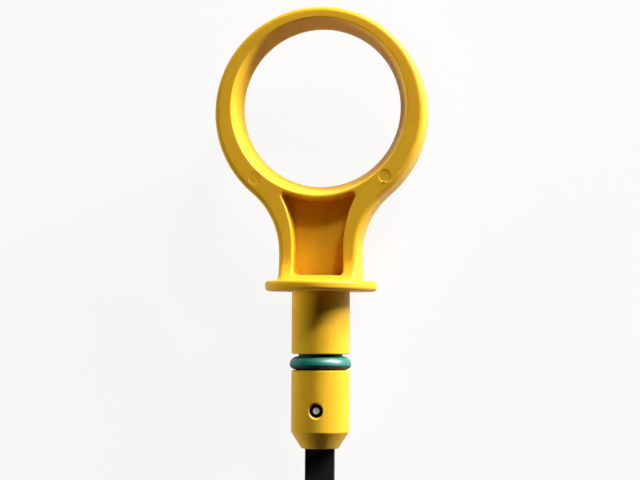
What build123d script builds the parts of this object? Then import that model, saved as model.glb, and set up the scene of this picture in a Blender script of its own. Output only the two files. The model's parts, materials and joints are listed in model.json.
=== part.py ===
"""Engine oil dipstick: a moulded ring-pull handle with its sealing plug, an O-ring, a flat steel blade and a pin.

It lies as it comes to rest, front face up, on the flange's rim and the blade's tip. X runs across the stick,
Y along it towards the ring, and the origin is at the centre of the flange's seat. Sizes are in millimetres.
"""

import os
from math import acos, asin, atan2, cos, degrees, hypot, sqrt, tan

from build123d import *

# Ring pull
ring_outer_radius = 19.6
ring_height = 33.2  # seat to the centre of the ring's outline
ring_lift = 1.0  # from there up to the finger hole's centre, so the band is thinnest at its top
ring_face = 3.1  # face of the band at the hole's sides, from the outline to the hole's mouth
ring_slope = 1.7  # the hole's walls slope in by this much, from each mouth to the crest midway
ring_crest_round = 1.6  # on the crest, where a finger pulls
handle_depth = 8.8  # front face to back face of the ring and the neck
edge_round = 0.95  # along the outline of the ring and the neck
lip_round = 0.3  # along the ring's mouth and the recesses

# Neck, an I-section with a recess in each face
neck_width = 14.7
neck_flare_radius = 14.5  # from the neck's sides into the ring
recess_width = 9.5
recess_top_width = 15.4
recess_straight = 5.5  # sill to where the recess starts to widen
recess_draft = 5.0  # degrees
recess_corner = 0.8
recess_top_corner = 0.6
recess_sill = 0.9  # above the flange
recess_land = 0.7  # left between the recess and the ring's mouth
web_thickness = 2.0

# Foot, where both faces of the neck swell out to the flange
foot_height = 4.3  # above the flange
foot_swell = 0.8  # share of the flange's room that the swell takes

# Flange that seats on the dipstick tube
flange_radius = 10.4
flange_thickness = 1.9
flange_round = 0.7
flange_fillet = 0.5  # between the neck and the flange

# Plug that fills the tube's mouth
plug_radius = 5.4
plug_length = 29.1
taper_length = 3.05
taper_end_radius = 3.45
taper_round = 0.3
groove_start = 11.65  # seat to the groove's upper wall
groove_width = 3.0
groove_radius = 4.1
groove_edge = 0.15

# O-ring, squeezed to a section that narrows outwards
seal_section = 2.56  # along the stick
seal_reach = 1.82  # from its inside to the point where its flanks would meet
seal_bulge = 0.15  # of each flank
seal_nose = 0.3
seal_corner = 0.4
seal_clearance = 0.02  # from the groove's floor and its lower wall

# Flat steel blade
blade_width = 5.5
blade_thickness = 1.0
blade_reach = 250.0  # seat to tip
blade_edge = 0.2
tip_corner = 1.5
tang_length = 13.0  # inside the plug
slot_clearance = 0.05
level_hole_radius = 1.0
level_low = 12.0  # tip to the lower level hole
level_span = 20.0  # lower to upper level hole

# Pin through plug and blade
pin_radius = 1.15
pin_rise = 7.05  # above the plug's end
pin_recess = 0.5  # below the plug's surface at each end
pin_chamfer = 0.5
pin_clearance = 0.03
hole_chamfer = 0.2

# The stick leans on two rounded edges of different height: the flange's rim and the blade's tip.
rest_run = blade_reach - blade_edge + flange_round
rest_rise = flange_radius - flange_round - blade_thickness / 2 + blade_edge
rest_step = flange_round - blade_edge
rest_pitch = degrees(atan2(rest_rise, rest_run) + asin(rest_step / hypot(rest_run, rest_rise)))

# Front plane: x across, y along the stick towards the ring, z out of the front face
front = Plane.XY.rotated((rest_pitch, 0, 0))
back = Plane(front.origin, x_dir=-front.x_dir, z_dir=-front.z_dir)
side_section = Plane(front.origin, x_dir=front.y_dir, z_dir=front.x_dir)
stick_axis = Axis(front.origin, front.y_dir)
front_axis = Axis(front.origin, front.z_dir)
hole_height = ring_height + ring_lift
hole_centre = front.from_local_coords((0, hole_height, 0))
hole_section = Plane(hole_centre, x_dir=front.x_dir, z_dir=-front.y_dir)
plug_end = Plane(front.from_local_coords((0, -plug_length, 0)), x_dir=front.x_dir, z_dir=front.y_dir)

half_depth = handle_depth / 2
groove_end = groove_start + groove_width
pin_depth = plug_length - pin_rise
pin_hole_radius = pin_radius + pin_clearance

# The hole's walls run from its mouth in each face to a rounded crest that they meet tangent.
mouth_radius = ring_outer_radius - ring_face
crest_centre = mouth_radius - ring_slope + ring_crest_round
crest_lean = atan2(half_depth, mouth_radius - crest_centre)
crest_wrap = acos(ring_crest_round / hypot(half_depth, mouth_radius - crest_centre))
crest_start = degrees(crest_lean + crest_wrap)

# The neck's sides run up and turn out on arcs that end tangent to the ring.
flare_reach = neck_width / 2 + neck_flare_radius
flare_span = ring_outer_radius + neck_flare_radius
flare_rise = sqrt(flare_span**2 - flare_reach**2)
flare_turn = degrees(asin(flare_rise / flare_span))
neck_root = flange_thickness / 2

# The foot's faces turn out on arcs, as far as its corners leave room on the flange's flat top.
corner_reach = flange_radius - flange_round - flange_fillet - edge_round
foot_room = sqrt(corner_reach**2 - (neck_width / 2 - edge_round) ** 2) + edge_round - half_depth
foot_reach = foot_swell * foot_room
foot_radius = (foot_reach**2 + foot_height**2) / (2 * foot_reach)
foot_turn = asin(foot_height / foot_radius)
foot_top = flange_thickness + foot_height
foot_end = half_depth + foot_reach + (flange_thickness - neck_root) * tan(foot_turn)

# The recess's sides turn out too, and end in corners on the land that is left along the hole's mouth.
recess_bottom = flange_thickness + recess_sill
land_radius = mouth_radius + recess_land
corner_turn = asin(recess_top_width / 2 / land_radius)
recess_corner_height = hole_height - land_radius * cos(corner_turn)


def outer_edges(plane, edges):
    """The edges that lie wholly at the handle's face in a plane, or beyond it."""
    limit = half_depth - lip_round / 2
    return [e for e in edges if min(plane.to_local_coords(v.center()).Z for v in e.vertices()) > limit]


with BuildPart() as handle:
    # Ring and neck as seen from the front, the neck flaring into the ring's outline
    with BuildSketch(front):
        with BuildLine():
            side = Line((neck_width / 2, neck_root), (neck_width / 2, ring_height - flare_rise))
            flare = JernArc(side @ 1, side % 1, neck_flare_radius, -flare_turn)
            Polyline(flare @ 1, (0, ring_height), (0, neck_root), side @ 0)
        make_face()
        mirror(about=Plane.YZ)
        with Locations((0, ring_height)):
            Circle(ring_outer_radius)
    extrude(amount=foot_end, both=True)

    # Their depth as seen from the side, with the foot that swells towards the flange
    with BuildSketch(side_section):
        with BuildLine():
            swell = JernArc((foot_top, half_depth), (-1, 0), foot_radius, -degrees(foot_turn))
            Polyline(
                swell @ 1,
                (neck_root, foot_end),
                (neck_root, 0),
                (ring_height + flare_span, 0),
                (ring_height + flare_span, half_depth),
                swell @ 0,
            )
        make_face()
        mirror(about=Plane.XZ)
    extrude(amount=flare_span, both=True, mode=Mode.INTERSECT)

    # Rounded outline on both faces
    for plane in (front, back):
        fillet(outer_edges(plane, handle.edges().filter_by(Axis.X, reverse=True)), edge_round)

    # Flange and plug, turned about the stick's axis in one profile
    with BuildSketch(front) as plug_profile:
        with BuildLine():
            Polyline(
                (0, flange_thickness),
                (flange_radius, flange_thickness),
                (flange_radius, 0),
                (plug_radius, 0),
                (plug_radius, -groove_start),
                (groove_radius, -groove_start),
                (groove_radius, -groove_end),
                (plug_radius, -groove_end),
                (plug_radius, taper_length - plug_length),
                (taper_end_radius, -plug_length),
                (0, -plug_length),
                close=True,
            )
        make_face()
        chamfer(plug_profile.vertices().group_by(Axis.X)[-2].sort_by(Axis.Y)[1:3], groove_edge)
        fillet(plug_profile.vertices().group_by(Axis.X)[-2].sort_by(Axis.Y)[0], taper_round)
        fillet(plug_profile.vertices().group_by(Axis.Y)[0].sort_by(Axis.X)[-1], taper_round)
        fillet(plug_profile.vertices().group_by(Axis.X)[-1], flange_round)
    revolve(axis=stick_axis)

    # Fillet that runs round the foot
    flange_top = handle.faces().filter_by(stick_axis).sort_by(stick_axis)[-1]
    fillet(flange_top.inner_wires()[0].edges(), flange_fillet)

    # Finger hole, with its two mouths eased
    with BuildSketch(hole_section):
        with BuildLine():
            crest = CenterArc((crest_centre, 0), ring_crest_round, crest_start, 360 - 2 * crest_start)
            Polyline(
                crest @ 1,
                (mouth_radius, -half_depth),
                (0, -half_depth),
                (0, half_depth),
                (mouth_radius, half_depth),
                crest @ 0,
            )
        make_face()
    revolve(axis=Axis(hole_centre, front.z_dir), mode=Mode.SUBTRACT)
    mouths = handle.edges(Select.LAST).filter_by(GeomType.CIRCLE).group_by(SortBy.RADIUS)[-1]
    fillet(mouths, lip_round)

    # Recess in each face, down to the web, with its lip eased
    for plane in (front, back):
        with BuildSketch(plane.offset(half_depth)) as recess:
            with BuildLine():
                sill = Line((0, recess_bottom), (recess_width / 2, recess_bottom))
                wall = Line(sill @ 1, sill @ 1 + (0, recess_straight))
                TangentArc(wall @ 1, (recess_top_width / 2, recess_corner_height), tangent=wall % 1)
                land = CenterArc((0, hole_height), land_radius, -90, degrees(corner_turn))
                Line(land @ 0, sill @ 0)
            make_face()
            mirror(about=Plane.YZ)
            fillet(recess.vertices().group_by(Axis.Y)[-1], recess_top_corner)
            fillet(recess.vertices().group_by(Axis.Y)[0], recess_corner)
        extrude(amount=web_thickness / 2 - half_depth, taper=recess_draft, mode=Mode.SUBTRACT)
        extrude(recess.sketch, amount=foot_reach, taper=-recess_draft, mode=Mode.SUBTRACT)
        fillet(outer_edges(plane, handle.edges(Select.LAST)), lip_round)

    # Pin hole right through the plug, with its two mouths eased, and the slot for the blade's tang
    with BuildSketch(front):
        with Locations((0, -pin_depth)):
            Circle(pin_hole_radius)
    extrude(amount=flange_radius, both=True, mode=Mode.SUBTRACT)
    chamfer(handle.edges(Select.LAST).filter_by(GeomType.LINE, reverse=True), hole_chamfer)
    with BuildSketch(plug_end):
        Rectangle(blade_width + 2 * slot_clearance, blade_thickness + 2 * slot_clearance)
    extrude(amount=tang_length + slot_clearance, mode=Mode.SUBTRACT)


# O-ring, stretched over the groove's floor, pushed down to its lower wall and standing proud of the plug
with BuildPart() as o_ring:
    seal_heel = groove_radius + seal_clearance
    seal_middle = seal_clearance + seal_section / 2 - groove_end
    with BuildSketch(front) as seal_profile:
        with BuildLine():
            inside = Line((seal_heel, seal_middle), (seal_heel, seal_middle + seal_section / 2))
            flank = SagittaArc(inside @ 1, (seal_heel + seal_reach, seal_middle), seal_bulge)
            Line(flank @ 1, inside @ 0)
        make_face()
        mirror(about=Plane((0, seal_middle, 0), z_dir=(0, 1, 0)))
        fillet(seal_profile.vertices().group_by(Axis.X)[-1], seal_nose)
        fillet(seal_profile.vertices().group_by(Axis.X)[0], seal_corner)
    revolve(axis=stick_axis)


# Blade: flat strip with rounded edges, pinned in the plug, with two level holes near its tip
with BuildPart() as blade:
    tang_top = tang_length - plug_length
    with BuildSketch(front) as blade_outline:
        with Locations((0, tang_top)):
            Rectangle(blade_width, blade_reach + tang_top, align=(Align.CENTER, Align.MAX))
        fillet(blade_outline.vertices().group_by(Axis.Y)[0], tip_corner)
        with Locations((0, -pin_depth)):
            Circle(pin_hole_radius, mode=Mode.SUBTRACT)
        with Locations((0, level_low - blade_reach), (0, level_low + level_span - blade_reach)):
            Circle(level_hole_radius, mode=Mode.SUBTRACT)
    extrude(amount=blade_thickness / 2, both=True)
    for end in (0, -1):
        face = blade.faces().filter_by(front_axis).sort_by(front_axis)[end]
        fillet(face.outer_wire().edges(), blade_edge)


# Cross pin, sunk a little below the plug's surface at both ends
with BuildPart() as cross_pin:
    with BuildSketch(front):
        with Locations((0, -pin_depth)):
            Circle(pin_radius)
    extrude(amount=plug_radius - pin_recess, both=True)
    chamfer(cross_pin.faces().filter_by(front_axis).edges(), pin_chamfer)


handle.part.label = "handle"
o_ring.part.label = "o_ring"
blade.part.label = "blade"
cross_pin.part.label = "cross_pin"
os.makedirs("parts", exist_ok=True)
export_step(handle.part, "parts/handle.step")
export_step(o_ring.part, "parts/o_ring.step")
export_step(blade.part, "parts/blade.step")
export_step(cross_pin.part, "parts/cross_pin.step")
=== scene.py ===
import json
import math

import bmesh
import bpy
from mathutils import Matrix, Vector


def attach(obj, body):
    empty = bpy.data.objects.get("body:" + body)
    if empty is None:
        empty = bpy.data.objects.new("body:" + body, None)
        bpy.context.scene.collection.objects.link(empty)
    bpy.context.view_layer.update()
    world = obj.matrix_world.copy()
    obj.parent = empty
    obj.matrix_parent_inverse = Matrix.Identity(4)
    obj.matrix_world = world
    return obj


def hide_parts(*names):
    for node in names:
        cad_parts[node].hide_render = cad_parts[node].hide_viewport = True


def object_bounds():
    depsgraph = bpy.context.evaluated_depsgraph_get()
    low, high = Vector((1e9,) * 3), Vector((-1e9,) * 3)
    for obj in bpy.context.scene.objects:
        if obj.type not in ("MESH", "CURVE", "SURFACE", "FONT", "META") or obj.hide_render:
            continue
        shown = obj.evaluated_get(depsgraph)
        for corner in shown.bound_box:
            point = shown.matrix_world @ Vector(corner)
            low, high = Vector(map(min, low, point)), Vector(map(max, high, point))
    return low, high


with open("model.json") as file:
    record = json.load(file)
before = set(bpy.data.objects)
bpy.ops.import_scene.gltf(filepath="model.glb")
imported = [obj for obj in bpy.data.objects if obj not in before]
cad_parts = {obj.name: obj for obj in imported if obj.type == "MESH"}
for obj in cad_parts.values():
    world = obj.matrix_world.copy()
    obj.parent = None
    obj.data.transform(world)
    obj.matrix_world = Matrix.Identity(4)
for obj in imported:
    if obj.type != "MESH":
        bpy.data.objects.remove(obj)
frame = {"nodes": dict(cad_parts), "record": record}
cad_low, cad_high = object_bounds()
scene = bpy.context.scene


# Handle: one yellow plastic moulding, with the ring pull, the recessed neck, the seating flange and the plug.
# It is injection moulded between two halves that part at mid depth. Round ejector pins push it out and leave
# shallow sunk discs in its faces. The hole across the plug is countersunk at both ends.
mm = 0.001
along = -Vector(frame["record"]["mounts"][0]["axis"]).normalized()  # up the stick, towards the ring
across = Vector((1, 0, 0))
stick = Matrix((across, along, across.cross(along))).transposed().to_4x4()
lean = math.atan2(along.z, along.y)  # the ring's end lies a little higher than the blade's

face_height = 4.4  # mid depth to the front face
plug_radius = 5.4
ejector_radius = 1.2
ejector_depth = 0.065
ejector_slope = 0.1  # its wall leans out by this much
ejector_faint = 0.03  # one of the marks is this much shallower
ejector_places = [
    (12.4, 21.15, face_height),
    (-11.9, 20.85, face_height + ejector_faint),
    (12.4, 21.15, -face_height),
    (-12.4, 21.15, -face_height),
]
countersink_radius = 1.58
countersink_depth = 0.42
hole_place = -22.05
countersink_places = [(0.0, hole_place, plug_radius), (0.0, hole_place, -plug_radius)]
disc_sides = 56
weld_reach = 0.002
sliver_width = 0.001
handle_sharp = 26  # degrees between two faces, past which their edge stays crisp

plastic_yellow = (0.915, 0.53, 0.020, 1)
plastic_deep = (0.85, 0.475, 0.016, 1)
plastic_gloss = (0.42, 0.50)  # roughness, from one kind of patch to the other
plastic_scuff = 0.12  # what a scratch adds to it
scratch_depth = 0.6  # against the grain's height
groove_middle = -13.15
groove_half = 1.5
groove_spread = (0.15, 0.25)  # past the groove's walls: where the oil and painted shade in it start to fade, and where they end
groove_reach = (4.9, 5.3)  # the same, out from the stick's middle
rim_shade_reach = (1.35, 1.45)  # the same for the painted shade in the pin's hole, out from the middle of the hole
oil_and_shade_rag = 0.3  # how far the grain shifts these borders
# oil in the seal's groove, darkened further as painted shade, with a green tint that is a painted reflection of
# the seal
groove_oil_shade_and_reflection = (0.014, 0.075, 0.020, 1)
# painted shade in the pin's hole and countersink
rim_painted_shade = (0.020, 0.012, 0.006, 1)


def put(tree, kind, feeds=(), **options):
    """Adds a node with its options, and sets or links its inputs."""
    node = tree.nodes.new(kind)
    for name, value in options.items():
        setattr(node, name, value)
    for key, value in dict(feeds).items():
        if isinstance(value, bpy.types.NodeSocket):
            tree.links.new(value, node.inputs[key])
        else:
            node.inputs[key].default_value = value
    return node


def reckon(tree, operation, *values):
    """What a Math node makes of some values."""
    return put(tree, "ShaderNodeMath", dict(enumerate(values)), operation=operation).outputs[0]


def reckon_place(tree, operation, *values):
    """What a Vector Math node makes of some places: a place, or a length."""
    node = put(tree, "ShaderNodeVectorMath", dict(enumerate(values)), operation=operation)
    return node.outputs["Value" if operation == "LENGTH" else "Vector"]


def ramp(tree, value, start=0.0, end=1.0, low=0.0, high=1.0):
    """Goes from low to high as a value goes from start to end, and no further."""
    return put(tree, "ShaderNodeMapRange", {0: value, 1: start, 2: end, 3: low, 4: high}).outputs[0]


def mix(tree, mask, base, over):
    """Goes from one colour to another as a mask goes from 0 to 1."""
    return put(tree, "ShaderNodeMix", {"Factor": mask, 6: base, 7: over}, data_type="RGBA").outputs[2]


def noise(tree, place, scale, detail):
    feeds = {"Vector": place, "Scale": scale, "Detail": detail}
    return put(tree, "ShaderNodeTexNoise", feeds).outputs["Fac"]


def start_group(name, kind, inputs, outputs):
    """Starts a node group with named sockets, and returns it with its two ends."""
    tree = bpy.data.node_groups.new(name, kind)
    for label, sort in inputs:
        tree.interface.new_socket(label, in_out="INPUT", socket_type="NodeSocket" + sort)
    for label, sort in outputs:
        tree.interface.new_socket(label, in_out="OUTPUT", socket_type="NodeSocket" + sort)
    return tree, tree.nodes.new("NodeGroupInput").outputs, tree.nodes.new("NodeGroupOutput").inputs


def make_surface_wear():
    """Effect of a handled surface: fine grain, broad uneven patches, and hairline scratches in some of them."""
    tree, given, result = start_group(
        "surface_wear",
        "ShaderNodeTree",
        [("Grain Scale", "Float"), ("Patch Scale", "Float"), ("Scratch Scale", "Float")],
        [("Grain", "Float"), ("Patch", "Float"), ("Scratch", "Float")],
    )
    patch_edges = (0.32, 0.68)
    scratch_turn = (0.2, 0.1, 0.5)
    scratch_stretch = (1.0, 0.09, 1.0)
    hair_half = 0.012
    here = put(tree, "ShaderNodeTexCoord").outputs["Object"]
    grain = noise(tree, here, given["Grain Scale"], detail=3.0)
    patch = ramp(tree, noise(tree, here, given["Patch Scale"], detail=4.0), *patch_edges)
    stretch = {"Vector": here, "Rotation": scratch_turn, "Scale": scratch_stretch}
    stretched = put(tree, "ShaderNodeMapping", stretch).outputs[0]
    line = noise(tree, stretched, given["Scratch Scale"], detail=1.0)
    from_middle = reckon(tree, "ABSOLUTE", reckon(tree, "SUBTRACT", line, 0.5))
    hair = ramp(tree, from_middle, 0.0, hair_half, 1.0, 0.0)
    scratch = reckon(tree, "MULTIPLY", hair, patch)
    for label, value in (("Grain", grain), ("Patch", patch), ("Scratch", scratch)):
        tree.links.new(value, result[label])
    return tree


surface_wear = make_surface_wear()


def start_finish(name, **constants):
    """Starts a material, sets the values that are the same all over it, and returns its tree and shader too."""
    material = bpy.data.materials.new(name)
    material.use_nodes = True
    shader = material.node_tree.nodes["Principled BSDF"]
    for label, value in constants.items():
        shader.inputs[label.replace("_", " ")].default_value = value
    return material, material.node_tree, shader.inputs


def add_wear(tree, grain, patch, scratch):
    """Places the worn surface in a material, with the sizes of its features in millimetres."""
    node = put(tree, "ShaderNodeGroup", node_tree=surface_wear)
    for label, size in (("Grain Scale", grain), ("Patch Scale", patch), ("Scratch Scale", scratch)):
        node.inputs[label].default_value = 1 / (size * mm)
    return node.outputs


def add_relief(tree, shader, height, strength, depth):
    """Feeds a material the fine relief that a height gives, with its depth in millimetres."""
    bump = put(tree, "ShaderNodeBump", {"Height": height, "Strength": strength, "Distance": depth * mm})
    tree.links.new(bump.outputs[0], shader["Normal"])


def stick_axes(tree, scale=(1.0, 1.0, 1.0)):
    """Object coordinates, turned to the stick's own axes."""
    here = put(tree, "ShaderNodeTexCoord").outputs["Object"]
    turn = {"Vector": here, "Rotation": (-lean, 0, 0), "Scale": scale}
    return put(tree, "ShaderNodeMapping", turn).outputs[0]


def oil_and_shade_masks(tree, grain):
    """Masks of the oil and painted shade in the seal's groove, and of the painted shade in the pin's hole, with
    ragged borders.
    """
    here = stick_axes(tree)
    rag = reckon(tree, "MULTIPLY", grain, oil_and_shade_rag * mm)

    def near(centre, axes, full, none):
        """Falls from 1 to 0 between two distances from a point, measured along the given axes only."""
        offset = reckon_place(tree, "SUBTRACT", here, centre)
        reach = reckon_place(tree, "LENGTH", reckon_place(tree, "MULTIPLY", offset, axes))
        return ramp(tree, reckon(tree, "ADD", reach, rag), none * mm, full * mm)

    groove_at = (0, groove_middle * mm, 0)
    level = near(groove_at, (0, 1, 0), groove_half + groove_spread[0], groove_half + groove_spread[1])
    deep = near(groove_at, (1, 0, 1), *groove_reach)
    rim = near((0, hole_place * mm, 0), (1, 1, 0), *rim_shade_reach)
    return reckon(tree, "MULTIPLY", level, deep), rim


def make_yellow_plastic():
    material, tree, shader = start_finish(
        "yellow_moulded_plastic",
        Specular_IOR_Level=0.35,
        Subsurface_Weight=0.2,
        Subsurface_Radius=(1.0, 0.4, 0.08),
        Subsurface_Scale=2.0 * mm,
    )
    wear = add_wear(tree, grain=0.16, patch=7.0, scratch=2.6)
    groove, rim = oil_and_shade_masks(tree, wear["Grain"])
    tint = mix(tree, wear["Patch"], plastic_yellow, plastic_deep)
    # the groove: oil, darkened further as painted shade, tinted green as a painted reflection of the seal
    oiled = mix(tree, groove, tint, groove_oil_shade_and_reflection)
    # the pin's hole: painted shade
    tree.links.new(mix(tree, rim, oiled, rim_painted_shade), shader["Base Color"])
    gloss = ramp(tree, wear["Patch"], 0.0, 1.0, *plastic_gloss)
    scuffed = reckon(tree, "MULTIPLY_ADD", wear["Scratch"], plastic_scuff, gloss)
    tree.links.new(scuffed, shader["Roughness"])
    height = reckon(tree, "MULTIPLY_ADD", wear["Scratch"], -scratch_depth, wear["Grain"])
    add_relief(tree, shader, height, strength=0.12, depth=0.03)
    return material


yellow_plastic = make_yellow_plastic()


def end_shape(tree, geometry, material, result):
    """Ends a geometry tree: real mesh, with its material."""
    real = put(tree, "GeometryNodeRealizeInstances", {"Geometry": geometry})
    dressed = put(tree, "GeometryNodeSetMaterial", {"Geometry": real.outputs[0], "Material": material})
    tree.links.new(dressed.outputs[0], result["Geometry"])


def as_mesh(piece):
    """Turns what a piece's modifiers make into its own plain mesh, without empty material slots."""
    graph = bpy.context.evaluated_depsgraph_get()
    made = bpy.data.meshes.new_from_object(piece.evaluated_get(graph), depsgraph=graph)
    for slot in reversed(range(len(made.materials))):
        if made.materials[slot] is None:
            made.materials.pop(index=slot)
    piece.modifiers.clear()
    piece.data = made


def grow(name, mesh, tree, sizes):
    """Runs a geometry tree on a mesh in the stick's own axes, and keeps the result as a plain mesh."""
    piece = bpy.data.objects.new(name, mesh)
    scene.collection.objects.link(piece)
    modifier = piece.modifiers.new("shape", "NODES")
    modifier.node_group = tree
    for item in tree.interface.items_tree:
        if item.in_out == "INPUT" and item.name in sizes:
            modifier[item.identifier] = sizes[item.name]
    as_mesh(piece)
    return piece


def shade(piece, sharp_degrees):
    """Smooth faces with crisp edges past an angle, the large flat faces setting the normals along them."""
    mesh = piece.data
    mesh.shade_smooth()
    mesh.set_sharp_from_angle(angle=math.radians(sharp_degrees))
    modifier = piece.modifiers.new("normals", "WEIGHTED_NORMAL")
    modifier.keep_sharp = True
    as_mesh(piece)


def cad_copy(node):
    """A merged copy of a CAD node's mesh, in the stick's own axes."""
    mesh = frame["nodes"][node].data.copy()
    mesh.attributes.remove(mesh.attributes["custom_normal"])
    solid = bmesh.new()
    solid.from_mesh(mesh)
    bmesh.ops.remove_doubles(solid, verts=solid.verts, dist=weld_reach * mm)
    bmesh.ops.dissolve_degenerate(solid, edges=solid.edges, dist=sliver_width * mm)
    solid.to_mesh(mesh)
    solid.free()
    mesh.transform(stick.inverted())
    mesh.materials.clear()
    return mesh


def make_disc_cutter():
    """Geometry tree that sinks a shallow disc with a leaning wall at each given point, into either face."""
    tree, given, result = start_group(
        "sunk_discs",
        "GeometryNodeTree",
        [
            ("Geometry", "Geometry"),
            ("Places", "Object"),
            ("Radius", "Float"),
            ("Depth", "Float"),
            ("Slope", "Float"),
        ],
        [("Geometry", "Geometry")],
    )
    disc = put(
        tree,
        "GeometryNodeMeshCone",
        {
            "Vertices": disc_sides,
            "Radius Bottom": reckon(tree, "SUBTRACT", given["Radius"], given["Slope"]),
            "Radius Top": reckon(tree, "ADD", given["Radius"], given["Slope"]),
            "Depth": reckon(tree, "MULTIPLY", given["Depth"], 2.0),
        },
    )
    drop = put(tree, "ShaderNodeCombineXYZ", {2: reckon(tree, "MULTIPLY", given["Depth"], -1.0)})
    sunk = put(
        tree, "GeometryNodeTransform", {"Geometry": disc.outputs["Mesh"], "Translation": drop.outputs[0]}
    )
    here = put(tree, "ShaderNodeSeparateXYZ", {0: put(tree, "GeometryNodeInputPosition").outputs[0]})
    behind = reckon(tree, "LESS_THAN", here.outputs["Z"], 0.0)
    facing = put(tree, "ShaderNodeCombineXYZ", {0: reckon(tree, "MULTIPLY", behind, math.pi)})
    places = put(tree, "GeometryNodeObjectInfo", {"Object": given["Places"]})
    discs = put(
        tree,
        "GeometryNodeInstanceOnPoints",
        {"Points": places.outputs["Geometry"], "Instance": sunk.outputs[0], "Rotation": facing.outputs[0]},
    )
    real = put(tree, "GeometryNodeRealizeInstances", {"Geometry": discs.outputs[0]})
    cut = put(
        tree,
        "GeometryNodeMeshBoolean",
        {"Mesh 1": given["Geometry"], "Mesh 2": real.outputs[0]},
        operation="DIFFERENCE",
        solver="EXACT",
    )
    end_shape(tree, cut.outputs["Mesh"], yellow_plastic, result)
    return tree


def points_mesh(name, points, edges=()):
    mesh = bpy.data.meshes.new(name)
    mesh.from_pydata([Vector(p) * mm for p in points], edges, [])
    return mesh


def sink_discs(name, mesh, places, radius, depth, slope):
    """Runs the disc cutter on a mesh, with its sizes in millimetres."""
    markers = bpy.data.objects.new("disc_places", points_mesh("disc_places", places))
    sizes = {"Places": markers, "Radius": radius * mm, "Depth": depth * mm, "Slope": slope * mm}
    piece = grow(name, mesh, disc_cutter, sizes)
    bpy.data.objects.remove(markers)
    return piece


disc_cutter = make_disc_cutter()
blank = sink_discs(
    "handle_blank",
    cad_copy("handle"),
    countersink_places,
    countersink_radius,
    countersink_depth,
    slope=countersink_depth,
)
handle = sink_discs(
    "handle_moulding", blank.data, ejector_places, ejector_radius, ejector_depth, ejector_slope
)
bpy.data.objects.remove(blank)
shade(handle, handle_sharp)
handle.data.transform(stick)
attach(handle, "root")
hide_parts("handle")


# Parting line: the hair of plastic that squeezes out where the two halves of the mould meet.
# It is one with the handle, and runs at mid depth along the outline, the finger hole's crest and the plug.
line_width = 0.16
line_rise = 0.035
line_sides = 10
line_sharp = 60
neck_half = 7.35
neck_foot = 2.3
flare_radius = 14.5
flare_centre = (21.85, 7.02)
ring_centre = 33.2
ring_radius = 19.6
hole_centre = 34.2
hole_radius = 14.8
plug_runs = [(-0.5, -11.5), (-14.8, -25.8)]  # above the seal's groove, and below it


def arc(centre, radius, start, end, steps):
    """Points on an arc at mid depth, between two angles in degrees."""
    turns = [math.radians(start + (end - start) * i / steps) for i in range(steps + 1)]
    return [(centre[0] + radius * math.cos(t), centre[1] + radius * math.sin(t), 0.0) for t in turns]


def chain(points):
    """Edges that join points in their order."""
    return [(i, i + 1) for i in range(len(points) - 1)]


def make_line_sweep():
    """Geometry tree that sweeps a low round ridge along paths."""
    tree, given, result = start_group(
        "parting_line",
        "GeometryNodeTree",
        [("Geometry", "Geometry"), ("Width", "Float"), ("Rise", "Float")],
        [("Geometry", "Geometry")],
    )
    path = put(tree, "GeometryNodeMeshToCurve", {"Mesh": given["Geometry"]})
    flat = put(tree, "GeometryNodeSetCurveNormal", {"Curve": path.outputs[0]}, mode="Z_UP")
    circle = put(tree, "GeometryNodeCurvePrimitiveCircle", {"Resolution": line_sides, "Radius": 1.0})
    half_width = reckon(tree, "MULTIPLY", given["Width"], 0.5)
    spread = put(tree, "ShaderNodeCombineXYZ", {0: given["Rise"], 1: half_width, 2: 1.0})
    section = put(
        tree, "GeometryNodeTransform", {"Geometry": circle.outputs["Curve"], "Scale": spread.outputs[0]}
    )
    ridge = put(
        tree,
        "GeometryNodeCurveToMesh",
        {"Curve": flat.outputs[0], "Profile Curve": section.outputs[0], "Fill Caps": True},
    )
    end_shape(tree, ridge.outputs[0], yellow_plastic, result)
    return tree


flare_end = math.degrees(math.asin((ring_centre - flare_centre[1]) / (ring_radius + flare_radius)))
right_side = [(neck_half, neck_foot, 0.0)]
right_side += arc(flare_centre, flare_radius, 180, 180 - flare_end, steps=24)
right_side += arc((0.0, ring_centre), ring_radius, -flare_end, 90, steps=72)[1:]
left_side = [(-u, v, w) for u, v, w in reversed(right_side[:-1])]
crest = arc((0.0, hole_centre), hole_radius, 0, 360, steps=144)[:-1]

line_points = right_side + left_side
line_edges = chain(line_points)
first = len(line_points)
line_points += crest
line_edges += [(first + i, first + (i + 1) % len(crest)) for i in range(len(crest))]
for side in (1, -1):
    for top, bottom in plug_runs:
        line_edges.append((len(line_points), len(line_points) + 1))
        line_points += [(side * plug_radius, top, 0.0), (side * plug_radius, bottom, 0.0)]
line_sweep = make_line_sweep()
parting_line = grow(
    "parting_line",
    points_mesh("parting_paths", line_points, line_edges),
    line_sweep,
    {"Width": line_width * mm, "Rise": line_rise * mm},
)
shade(parting_line, line_sharp)
parting_line.data.transform(stick)
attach(parting_line, "root")


# Ejector burr: a crumb of plastic at the lower edge of one ejector mark, on the front face.
# It is one with the handle, and squeezed out beside the ejector pin where the mould was worn.
burr_half = 0.16
burr_rise = 0.13
burr_inset = 0.06  # inside the mark's edge
burr_start, burr_end = 258, 276  # degrees round the mark

burr_arc = arc(ejector_places[0][:2], ejector_radius - burr_inset, burr_start, burr_end, steps=6)
burr_points = [(u, v, face_height) for u, v, w in burr_arc]
burr = grow(
    "ejector_burr",
    points_mesh("burr_path", burr_points, chain(burr_points)),
    line_sweep,
    {"Width": 2 * burr_rise * mm, "Rise": burr_half * mm},  # on a face, the sweep's width stands up
)
shade(burr, line_sharp)
burr.data.transform(stick)
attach(burr, "root")


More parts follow.
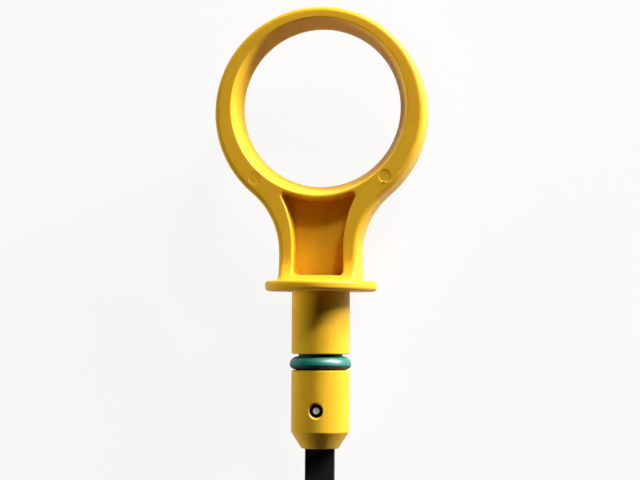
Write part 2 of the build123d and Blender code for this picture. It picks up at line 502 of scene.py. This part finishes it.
# Blade: a flat strip of spring steel, cut to length, its edges broken and then blackened in hot oxide.
# Its upper end is pushed into the slot in the plug.
oxide_black = (0.008, 0.008, 0.008, 1)
oxide_thin = (0.013, 0.012, 0.012, 1)
oxide_rubbed = (0.03, 0.03, 0.031, 1)
oxide_gloss = (0.48, 0.62)
drawn_grain = (22.0, 0.5, 22.0)  # the steel's grain runs along the stick
drawn_scale = 200.0
blade_sharp = 40


def make_black_steel():
    material, tree, shader = start_finish("black_oxide_steel", Metallic=0.0, IOR=1.45)
    wear = add_wear(tree, grain=0.22, patch=9.0, scratch=3.0)
    drawn = noise(tree, stick_axes(tree, drawn_grain), drawn_scale, detail=3.0)
    tint = mix(tree, wear["Patch"], oxide_black, oxide_thin)
    tree.links.new(mix(tree, wear["Scratch"], tint, oxide_rubbed), shader["Base Color"])
    tree.links.new(ramp(tree, drawn, 0.0, 1.0, *oxide_gloss), shader["Roughness"])
    height = reckon(tree, "MULTIPLY_ADD", wear["Grain"], 0.5, drawn)
    add_relief(tree, shader, height, strength=0.25, depth=0.03)
    return material


black_steel = make_black_steel()
blade = bpy.data.objects.new("blade_strip", cad_copy("blade"))
scene.collection.objects.link(blade)
blade.data.materials.append(black_steel)
shade(blade, blade_sharp)
blade.data.transform(stick)
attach(blade, "root")
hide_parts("blade")


# Level hatch: crossing ridges rolled into both faces of the blade, between the holes for low and full oil.
# They are part of the strip, and hold a film of oil so that its level is easy to read.
hatch_top = -220.6
hatch_run = 14.8
hatch_rows = 12
hatch_half = 2.1
hatch_slant = 38  # degrees from square across the blade
hatch_sharp = 50
ridge_width = 0.26
ridge_rise = 0.07
ridge_sides = 8
blade_half = 0.5


def make_hatch():
    """Geometry tree that lays slanting ridges along a line of points, both ways and on both faces."""
    tree, given, result = start_group(
        "level_hatch",
        "GeometryNodeTree",
        [("Geometry", "Geometry"), ("Half Width", "Float"), ("Ridge Width", "Float"), ("Ridge Rise", "Float")],
        [("Geometry", "Geometry")],
    )
    start = put(tree, "ShaderNodeCombineXYZ", {0: reckon(tree, "MULTIPLY", given["Half Width"], -1.0)})
    end = put(tree, "ShaderNodeCombineXYZ", {0: given["Half Width"]})
    half = reckon(tree, "MULTIPLY", given["Ridge Width"], 0.5)
    spread = put(tree, "ShaderNodeCombineXYZ", {0: half, 1: given["Ridge Rise"], 2: 1.0})
    circle = put(tree, "GeometryNodeCurvePrimitiveCircle", {"Resolution": ridge_sides, "Radius": 1.0})
    section = put(
        tree, "GeometryNodeTransform", {"Geometry": circle.outputs["Curve"], "Scale": spread.outputs[0]}
    )
    both = put(tree, "GeometryNodeJoinGeometry")
    for way in (-1, 1):
        run = put(
            tree, "GeometryNodeCurvePrimitiveLine", {"Start": start.outputs[0], "End": end.outputs[0]}
        )
        slant = (0, 0, way * math.radians(hatch_slant))
        slanted = put(tree, "GeometryNodeTransform", {"Geometry": run.outputs[0], "Rotation": slant})
        ridge = put(
            tree,
            "GeometryNodeCurveToMesh",
            {"Curve": slanted.outputs[0], "Profile Curve": section.outputs[0], "Fill Caps": True},
        )
        tree.links.new(ridge.outputs[0], both.inputs[0])
    rows = put(
        tree, "GeometryNodeInstanceOnPoints", {"Points": given["Geometry"], "Instance": both.outputs[0]}
    )
    end_shape(tree, rows.outputs[0], black_steel, result)
    return tree


hatch_places = [
    (0.0, hatch_top - hatch_run * i / (hatch_rows - 1), side * blade_half)
    for side in (1, -1)
    for i in range(hatch_rows)
]
hatch = grow(
    "level_hatch",
    points_mesh("hatch_places", hatch_places),
    make_hatch(),
    {"Half Width": hatch_half * mm, "Ridge Width": ridge_width * mm, "Ridge Rise": ridge_rise * mm},
)
shade(hatch, hatch_sharp)
hatch.data.transform(stick)
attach(hatch, "root")


# Cross pin: a short turned pin of pale plated steel, pressed through the plug and the blade's upper end.
# Both ends sit a little below the plug's surface, dished by the tool that parted them off, with chamfers that
# are painted black as painted shade, where they lie down in the hole.
pin_place = (0.0, hole_place, 0.0)
pin_half = 5.0
pin_radius = 1.15
pin_face = 0.6  # where the chamfer starts
pin_sides = 64
pin_sharp = 30
face_break = (0.03, 0.02)  # how far the chamfer's upper edge is rounded, on the face and on the chamfer
side_break = (0.03, 0.04)  # the same for its lower edge, on the chamfer and down the side
dish_radius = 0.52
dish_depth = 0.07
dish_steps = 6
ring_pitch = 0.12  # of the fine rings that turning leaves
wave_length = 0.314  # what a wave texture repeats after, at a scale of 1
pin_bright = (1.0, 0.97, 0.97, 1)
pin_dull = (0.93, 0.90, 0.92, 1)
pin_gloss = (0.55, 0.65)
pin_metal = 0.1  # a pale, dull plating that hardly mirrors
# painted shade: black on the chamfers round each end, down in the hole
pin_painted_shade = (0.006, 0.006, 0.005, 1)
pin_shade_reach = (0.62, 0.70)  # from its middle: where the painted shade starts, and where it is full
pin_shade_rag = 0.1


def make_pin_steel():
    material, tree, shader = start_finish("plated_pin_steel")
    wear = add_wear(tree, grain=0.1, patch=2.5, scratch=1.5)
    centred = reckon_place(tree, "SUBTRACT", stick_axes(tree), tuple(Vector(pin_place) * mm))
    rings = put(
        tree,
        "ShaderNodeTexWave",
        {"Vector": centred, "Scale": wave_length / (ring_pitch * mm), "Distortion": 0.4, "Detail": 1.0},
        wave_type="RINGS",
        rings_direction="Z",
    )
    reach = reckon_place(tree, "LENGTH", reckon_place(tree, "MULTIPLY", centred, (1, 1, 0)))
    ragged = reckon(tree, "MULTIPLY_ADD", wear["Grain"], pin_shade_rag * mm, reach)
    painted_shade = ramp(tree, ragged, pin_shade_reach[0] * mm, pin_shade_reach[1] * mm)
    tint = mix(tree, wear["Patch"], pin_bright, pin_dull)
    # painted shade on the chamfers, which also loses the plating's metal there
    tree.links.new(mix(tree, painted_shade, tint, pin_painted_shade), shader["Base Color"])
    tree.links.new(ramp(tree, painted_shade, 0.0, 1.0, pin_metal, 0.0), shader["Metallic"])
    tree.links.new(ramp(tree, wear["Patch"], 0.0, 1.0, *pin_gloss), shader["Roughness"])
    add_relief(tree, shader, rings.outputs["Fac"], strength=0.35, depth=0.02)
    return material


def turned_mesh(name, profile, steps):
    """Mesh turned about the front axis from (radius, height) points that start and end on that axis."""
    solid = bmesh.new()
    rows = []
    for radius, height in profile:
        count = steps if radius else 1
        turns = [2 * math.pi * i / count for i in range(count)]
        points = [Vector((radius * math.cos(t), radius * math.sin(t), height)) * mm for t in turns]
        rows.append([solid.verts.new(point) for point in points])
    for upper, lower in zip(rows, rows[1:]):
        for i in range(steps):
            j = (i + 1) % steps
            corners = [row[k % len(row)] for row, k in ((upper, i), (lower, i), (lower, j), (upper, j))]
            solid.faces.new(list(dict.fromkeys(corners)))
    mesh = bpy.data.meshes.new(name)
    solid.to_mesh(mesh)
    solid.free()
    return mesh


dish = [dish_radius * i / dish_steps for i in range(dish_steps + 1)]
chamfer_foot = pin_half - pin_radius + pin_face
pin_end = [(r, pin_half - dish_depth * (1 - (r / dish_radius) ** 2)) for r in dish]
pin_end += [(pin_face - face_break[0], pin_half), (pin_face + face_break[1], pin_half - face_break[1])]
pin_end += [(pin_radius - side_break[0], chamfer_foot + side_break[0])]
pin_end += [(pin_radius, chamfer_foot - side_break[1])]
pin_profile = pin_end + [(r, -w) for r, w in reversed(pin_end)]
pin = bpy.data.objects.new("cross_pin_turned", turned_mesh("cross_pin_turned", pin_profile, pin_sides))
scene.collection.objects.link(pin)
pin.data.materials.append(make_pin_steel())
pin.data.transform(Matrix.Translation(Vector(pin_place) * mm))
shade(pin, pin_sharp)
pin.data.transform(stick)
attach(pin, "root")
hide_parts("cross_pin")


# O-ring: a teal green rubber ring, stretched over the plug and snapped into its groove, against the lower wall.
# Its section is half an ellipse, with its round nose a little below the middle. The nose has the thin trimmed
# line that the ring's two-part mould leaves there.
seal_place = -13.60  # its nose
seal_inside = 4.12
seal_above = 1.53
seal_below = 1.03
seal_reach = 1.6  # from its heel to its nose
seal_steps = 192
seal_sharp = 60
section_steps = 96
flash_rise = 0.025
flash_half = 0.05
seal_teal = (0.010, 0.20, 0.15, 1)
seal_deep = (0.008, 0.17, 0.125, 1)
seal_gloss = (0.37, 0.43)
# painted shade: the seal's lower flank, darker below its nose
seal_painted_shade = (0.004, 0.02, 0.010, 1)
seal_shade_top = 0.16  # above its nose
seal_shade_fade = 0.45
seal_shade_rag = 0.3
seal_shade_dull = 0.3  # what the painted shade's mask adds to the roughness


def make_seal_rubber():
    material, tree, shader = start_finish("teal_rubber", Specular_IOR_Level=1.0)
    wear = add_wear(tree, grain=0.14, patch=3.0, scratch=1.6)
    level = put(tree, "ShaderNodeSeparateXYZ", {0: stick_axes(tree)}).outputs["Y"]
    # painted shade: the seal darkens and dulls below its nose
    ragged = reckon(tree, "MULTIPLY_ADD", wear["Grain"], seal_shade_rag * mm, level)
    shade_top = seal_place + seal_shade_top
    painted_shade = ramp(tree, ragged, shade_top * mm, (shade_top - seal_shade_fade) * mm)
    tint = mix(tree, wear["Patch"], seal_teal, seal_deep)
    tree.links.new(mix(tree, painted_shade, tint, seal_painted_shade), shader["Base Color"])
    gloss = ramp(tree, wear["Patch"], 0.0, 1.0, *seal_gloss)
    dulled = reckon(tree, "MULTIPLY_ADD", painted_shade, seal_shade_dull, gloss)
    tree.links.new(dulled, shader["Roughness"])
    add_relief(tree, shader, wear["Grain"], strength=0.1, depth=0.02)
    return material


def seal_section():
    """Points round the section: half an ellipse with a flat heel, taller above its nose than below."""
    points = []
    for i in range(section_steps + 1):
        turn_up = math.radians(180 * i / section_steps - 90)
        out, up = math.cos(turn_up), math.sin(turn_up)
        height = up * (seal_above if up > 0 else seal_below)
        flash = flash_rise * math.exp(-((height / flash_half) ** 2))
        points.append((seal_reach * max(out, 0.0) + flash, height, 0.0))
    return points


def make_seal():
    """Geometry tree that sweeps a section round a circle."""
    tree, given, result = start_group(
        "seal_ring",
        "GeometryNodeTree",
        [("Geometry", "Geometry"), ("Radius", "Float")],
        [("Geometry", "Geometry")],
    )
    path = put(
        tree, "GeometryNodeCurvePrimitiveCircle", {"Resolution": seal_steps, "Radius": given["Radius"]}
    )
    section = put(tree, "GeometryNodeMeshToCurve", {"Mesh": given["Geometry"]})
    ring = put(
        tree,
        "GeometryNodeCurveToMesh",
        {"Curve": path.outputs["Curve"], "Profile Curve": section.outputs[0]},
    )
    upright = put(
        tree, "GeometryNodeTransform", {"Geometry": ring.outputs[0], "Rotation": (math.radians(90), 0, 0)}
    )
    end_shape(tree, upright.outputs[0], make_seal_rubber(), result)
    return tree


section_points = seal_section()
section_edges = chain(section_points) + [(len(section_points) - 1, 0)]
seal = grow(
    "seal_ring",
    points_mesh("seal_section", section_points, section_edges),
    make_seal(),
    {"Radius": seal_inside * mm},
)
seal.data.transform(Matrix.Translation((0, seal_place * mm, 0)))
shade(seal, seal_sharp)
seal.data.transform(stick)
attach(seal, "root")
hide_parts("o_ring")


# Floor: a wide white sheet that the stick lies on, resting on the flange's rim and the blade's tip.
# It looks almost plain white, and keeps a soft shadow of the stick.
floor_reach = 4.0
floor_sides = 96
floor_tone = (0.9, 0.9, 0.9, 1)
floor_share = 0.88  # of the floor's look that is plain white
floor_reflected = 0.3  # the same, as other surfaces mirror it
floor_white = 1.0

floor_mesh = bpy.data.meshes.new("floor")
disc = bmesh.new()
floor_place = Matrix.Translation((0, 0, cad_low.z))
bmesh.ops.create_circle(disc, cap_ends=True, segments=floor_sides, radius=floor_reach, matrix=floor_place)
disc.to_mesh(floor_mesh)
disc.free()
floor = bpy.data.objects.new("floor", floor_mesh)
scene.collection.objects.link(floor)
floor_paint = bpy.data.materials.new("white_floor")
floor_paint.use_nodes = True
paint = floor_paint.node_tree
matt = put(paint, "ShaderNodeBsdfDiffuse", {"Color": floor_tone})
bright = put(paint, "ShaderNodeEmission", {"Color": (1, 1, 1, 1), "Strength": floor_white})
rays = put(paint, "ShaderNodeLightPath").outputs
seen = reckon(paint, "MULTIPLY", rays["Is Camera Ray"], floor_share)
mirrored = reckon(paint, "MAXIMUM", rays["Is Glossy Ray"], rays["Is Transmission Ray"])
mirrored = reckon(paint, "MULTIPLY", mirrored, floor_reflected)
share = reckon(paint, "MAXIMUM", seen, mirrored)
mixed = put(paint, "ShaderNodeMixShader", {0: share, 1: matt.outputs[0], 2: bright.outputs[0]})
paint.links.new(mixed.outputs[0], paint.nodes["Material Output"].inputs["Surface"])
floor_mesh.materials.append(floor_paint)


# Studio: a dim room, with four softboxes that rake across the stick from the upper right, and a fill from
# the left. A long lens looks almost straight down on the handle.
room_light = 0.02
lamp_distance = 1.0
lamps = [
    # name, degrees round from +X towards +Y, degrees up, brightness, width, height
    ("low_softbox", 36.0, 8.0, 1.22, 0.24, 0.10),
    ("end_softbox", 59.0, 6.5, 0.75, 0.20, 0.08),
    ("middle_softbox", 50.0, 18.0, 0.40, 0.22, 0.12),
    ("high_softbox", 65.0, 31.0, 0.42, 0.14, 0.12),
    ("left_fill", 187.0, 2.5, 0.58, 0.60, 0.06),
]
camera_aim = (-0.233, 9.561, 0.0)
camera_distance = 370.0
camera_side = math.radians(8.623)
camera_rise = math.radians(-2.744)
camera_roll = math.radians(0.371)
camera_lens = 111.68
camera_sensor = 36.0

room = bpy.data.worlds.new("dim_room")
room.use_nodes = True
room.node_tree.nodes["Background"].inputs["Color"].default_value = (1, 1, 1, 1)
room.node_tree.nodes["Background"].inputs["Strength"].default_value = room_light
scene.world = room


def pointing(side, rise):
    """Direction at two angles: round from the first axis towards the second, and up to the third."""
    return Vector((math.cos(side) * math.cos(rise), math.sin(side) * math.cos(rise), math.sin(rise)))


aim = stick @ (Vector(camera_aim) * mm)
for name, round_from, up_from, brightness, width, height in lamps:
    light = bpy.data.lights.new(name, "AREA")
    light.shape = "RECTANGLE"
    light.size = width
    light.size_y = height
    light.energy = brightness * (math.pi * lamp_distance) ** 2
    lamp = bpy.data.objects.new(name, light)
    scene.collection.objects.link(lamp)
    lamp.visible_camera = False
    lamp.visible_glossy = name != "left_fill"
    direction = pointing(math.radians(round_from), math.radians(up_from))
    lamp.location = aim + direction * lamp_distance
    lamp.rotation_euler = direction.to_track_quat("Z", "Y").to_euler()

ahead, sideways, upwards = pointing(camera_side, camera_rise)
back = Vector((sideways, upwards, ahead))
right = Vector((0, 1, 0)).cross(back).normalized()
up = back.cross(right)
rolled_right = math.cos(camera_roll) * right + math.sin(camera_roll) * up
rolled_up = math.cos(camera_roll) * up - math.sin(camera_roll) * right
lens = bpy.data.cameras.new("long_lens")
lens.lens = camera_lens
lens.sensor_width = camera_sensor
lens.sensor_fit = "HORIZONTAL"
lens.clip_start = 0.01
lens.clip_end = 50.0
camera = bpy.data.objects.new("long_lens", lens)
scene.collection.objects.link(camera)
turn = stick.to_3x3()
facing = turn @ Matrix((rolled_right, rolled_up, back)).transposed()
camera.matrix_world = Matrix.Translation(aim + turn @ back * camera_distance * mm) @ facing.to_4x4()
scene.camera = camera

scene.view_settings.view_transform = "Standard"
